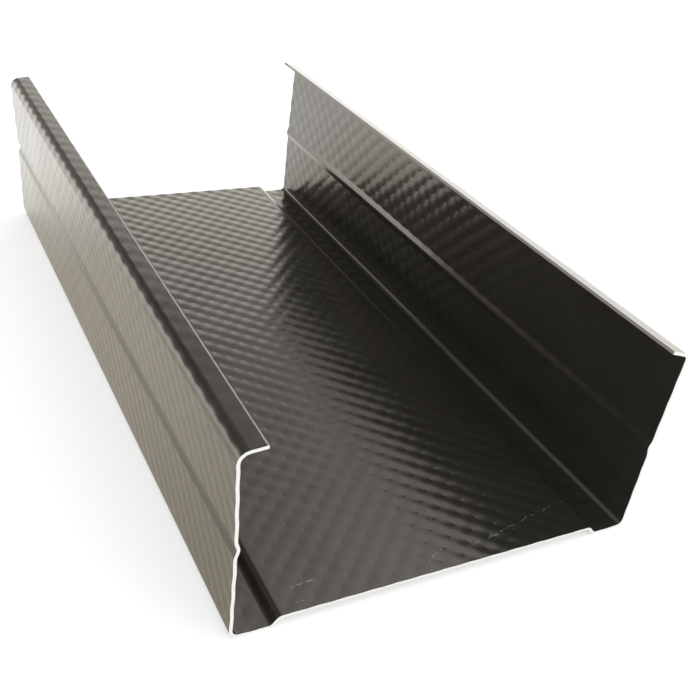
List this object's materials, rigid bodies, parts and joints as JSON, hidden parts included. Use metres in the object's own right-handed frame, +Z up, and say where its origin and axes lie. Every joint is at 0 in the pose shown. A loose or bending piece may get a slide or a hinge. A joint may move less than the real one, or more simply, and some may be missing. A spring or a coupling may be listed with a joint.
{
  "type": "drywall metal stud",
  "caption": "Short cut length of a lipped steel C-stud for drywall framing, with a stepped web, a screw-guide groove along each flange and an embossed surface.",
  "frame": {"origin": "under the middle of the sample, on the plane that the feet of the web's two margins rest on", "axes": "+Y along the stud's length, +X from the low flange to the high flange, +Z up through the open side between the lips"},
  "size_m": [0.0709, 0.143, 0.035],
  "materials": {
    "sheet": "galvanised cold-rolled sheet, semi-gloss, finely embossed, with bare bright cut edges"
  },
  "bodies": {
    "root": {"stud": "sheet"}
  },
  "joints": []
}
